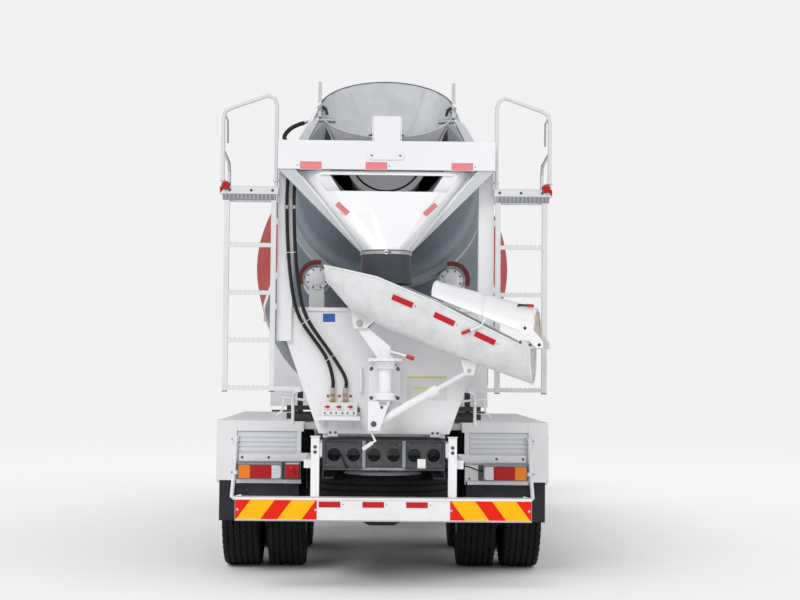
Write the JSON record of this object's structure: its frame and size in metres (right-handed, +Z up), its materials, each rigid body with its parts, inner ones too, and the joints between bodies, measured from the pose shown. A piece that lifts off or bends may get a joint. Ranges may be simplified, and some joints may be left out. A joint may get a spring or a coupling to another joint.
{
  "type": "concrete mixer truck",
  "caption": "Concrete mixer truck: twin-tyred rear axles, tilting cab, turning drum with charging and discharge hoppers, and a swivel chute with screw jack and folding extension.",
  "frame": {"origin": "on the ground, in the middle of the truck's length and width", "axes": "+X to the truck's right, +Y forward, +Z up"},
  "size_m": [2.8, 9.0684, 3.7559],
  "materials": {
    "white_paint": "gloss",
    "hopper_paint": "satin, light grey",
    "drum_paint": "gloss, slate grey rear cone and red-orange belly",
    "chassis_paint": "satin",
    "tyre": "matt, with a white-painted steel rim in the same solid",
    "flap_rubber": "matt",
    "hose_rubber": "matt",
    "bare_steel": "worn",
    "gearbox_iron": "painted black",
    "engine_iron": "painted grey",
    "tank_aluminium": "brushed",
    "window_glass": "clear",
    "lamp_plastic": "gloss lens",
    "seat_fabric": "matt",
    "cab_trim": "matt"
  },
  "bodies": {
    "chassis": {"battery_box_and_guard": "chassis_paint", "charging_hopper": "hopper_paint", "control_valves": "white_paint", "discharge_hopper": "white_paint", "drum_gearbox": "gearbox_iron", "engine": "engine_iron", "front_axle": "chassis_paint", "front_bumper": "white_paint", "front_pedestal": "white_paint", "fuel_tank_and_guard": "tank_aluminium", "gearbox_and_prop_shaft": "chassis_paint", "hose_left": "hose_rubber", "hose_right": "hose_rubber", "ladder_frame": "chassis_paint", "ladder_left": "white_paint", "ladder_right": "white_paint", "middle_axle": "chassis_paint", "mud_flap_left": "flap_rubber", "mud_flap_right": "flap_rubber", "mudguard_left": "white_paint", "mudguard_right": "white_paint", "outlet_skirt": "flap_rubber", "rear_axle": "chassis_paint", "rear_bumper": "white_paint", "rear_crossmember": "chassis_paint", "rear_tower": "white_paint", "spare_wheel": "tyre", "subframe": "white_paint", "swivel_bearing": "white_paint", "tail_lamp_left": "lamp_plastic", "tail_lamp_right": "lamp_plastic", "tandem_suspension": "chassis_paint", "upper_beam": "white_paint", "water_tank": "white_paint"},
    "cab": {"cab_shell": "white_paint", "dashboard": "cab_trim", "seat_left": "seat_fabric", "seat_right": "seat_fabric", "windscreen": "window_glass"},
    "door_left": {"door_left": "white_paint", "door_glass_left": "window_glass"},
    "door_right": {"door_right": "white_paint", "door_glass_right": "window_glass"},
    "knuckle_left": {"knuckle_left": "chassis_paint"},
    "knuckle_right": {"knuckle_right": "chassis_paint"},
    "drum": {"drum_shell": "drum_paint"},
    "roller_left": {"support_roller_left": "bare_steel"},
    "roller_right": {"support_roller_right": "bare_steel"},
    "chute_swivel": {"swivel_post": "white_paint"},
    "chute": {"chute_trough": "hopper_paint"},
    "chute_extension": {"chute_extension": "white_paint"},
    "jack_tube": {"jack_tube": "white_paint"},
    "jack_rod": {"jack_screw": "bare_steel"},
    "wheel_front_left": {"wheel_front_left": "tyre"},
    "wheel_front_right": {"wheel_front_right": "tyre"},
    "wheel_middle_left": {"wheel_middle_left": "tyre"},
    "wheel_middle_right": {"wheel_middle_right": "tyre"},
    "wheel_rear_left": {"wheel_rear_left": "tyre"},
    "wheel_rear_right": {"wheel_rear_right": "tyre"}
  },
  "joints": [
    {"name": "steer_left", "type": "hinge", "parent": "chassis", "child": "knuckle_left", "pos_m": [-0.86, 2.94, 0.53582], "axis": [0, 0, 1], "range_deg": [-35, 35]},
    {"name": "steer_right", "type": "hinge", "parent": "chassis", "child": "knuckle_right", "pos_m": [0.86, 2.94, 0.53582], "axis": [0, 0, 1], "range_deg": [-35, 35]},
    {"name": "spin_front_left", "type": "hinge", "parent": "knuckle_left", "child": "wheel_front_left", "pos_m": [-1.02, 2.94, 0.53582], "axis": [1, 0, 0], "continuous": true},
    {"name": "spin_front_right", "type": "hinge", "parent": "knuckle_right", "child": "wheel_front_right", "pos_m": [1.02, 2.94, 0.53582], "axis": [1, 0, 0], "continuous": true},
    {"name": "spin_middle_left", "type": "hinge", "parent": "chassis", "child": "wheel_middle_left", "pos_m": [-0.9185, -0.86, 0.53582], "axis": [1, 0, 0], "continuous": true},
    {"name": "spin_middle_right", "type": "hinge", "parent": "chassis", "child": "wheel_middle_right", "pos_m": [0.9185, -0.86, 0.53582], "axis": [1, 0, 0], "continuous": true},
    {"name": "spin_rear_left", "type": "hinge", "parent": "chassis", "child": "wheel_rear_left", "pos_m": [-0.9185, -2.21, 0.53582], "axis": [1, 0, 0], "continuous": true},
    {"name": "spin_rear_right", "type": "hinge", "parent": "chassis", "child": "wheel_rear_right", "pos_m": [0.9185, -2.21, 0.53582], "axis": [1, 0, 0], "continuous": true},
    {"name": "drum_spin", "type": "hinge", "parent": "chassis", "child": "drum", "pos_m": [0, -2.45, 2.97], "axis": [0, 0.9744, -0.225], "continuous": true},
    {"name": "spin_roller_left", "type": "hinge", "parent": "chassis", "child": "roller_left", "pos_m": [-0.52253, -2.61787, 2.24288], "axis": [0, 0.9744, -0.225], "continuous": true},
    {"name": "spin_roller_right", "type": "hinge", "parent": "chassis", "child": "roller_right", "pos_m": [0.52253, -2.61787, 2.24288], "axis": [0, 0.9744, -0.225], "continuous": true},
    {"name": "chute_swing", "type": "hinge", "parent": "chassis", "child": "chute_swivel", "pos_m": [0, -4.09, 1.62], "axis": [0, 0, -1], "range_deg": [0, 156]},
    {"name": "chute_tilt", "type": "hinge", "parent": "chute_swivel", "child": "chute", "pos_m": [-0.16628, -4.05466, 1.88], "axis": [-0.2079, -0.9781, 0], "range_deg": [-10, 8]},
    {"name": "chute_fold", "type": "hinge", "parent": "chute", "child": "chute_extension", "pos_m": [1.06129, -4.31558, 1.735], "axis": [0.2079, 0.9781, 0], "range_deg": [0, 150]},
    {"name": "jack_swing", "type": "hinge", "parent": "chute_swivel", "child": "jack_tube", "pos_m": [-0.06358, -4.07649, 1.19], "axis": [-0.2079, -0.9781, 0], "range_deg": [-12, 12]},
    {"name": "jack_extend", "type": "slide", "parent": "jack_tube", "child": "jack_rod", "axis": [0.8517, -0.181, 0.4918], "range_m": [-0.14, 0.14]},
    {"name": "cab_tilt", "type": "hinge", "parent": "chassis", "child": "cab", "pos_m": [0, 4.3, 1.06], "axis": [-1, 0, 0], "range_deg": [0, 50]},
    {"name": "door_left_swing", "type": "hinge", "parent": "cab", "child": "door_left", "pos_m": [-1.228, 4.19, 1.21], "axis": [0, 0, -1], "range_deg": [0, 70]},
    {"name": "door_right_swing", "type": "hinge", "parent": "cab", "child": "door_right", "pos_m": [1.228, 4.19, 1.21], "axis": [0, 0, 1], "range_deg": [0, 70]}
  ],
  "couplings": [
    {"joint": "steer_right", "follows": "steer_left", "ratio": 1},
    {"joint": "jack_swing", "follows": "chute_tilt", "ratio": 0.67041},
    {"joint": "jack_extend", "follows": "chute_tilt", "m_per_rad": 0.65242},
    {"joint": "spin_roller_left", "follows": "drum_spin", "ratio": -7.2727},
    {"joint": "spin_roller_right", "follows": "drum_spin", "ratio": -7.2727}
  ]
}
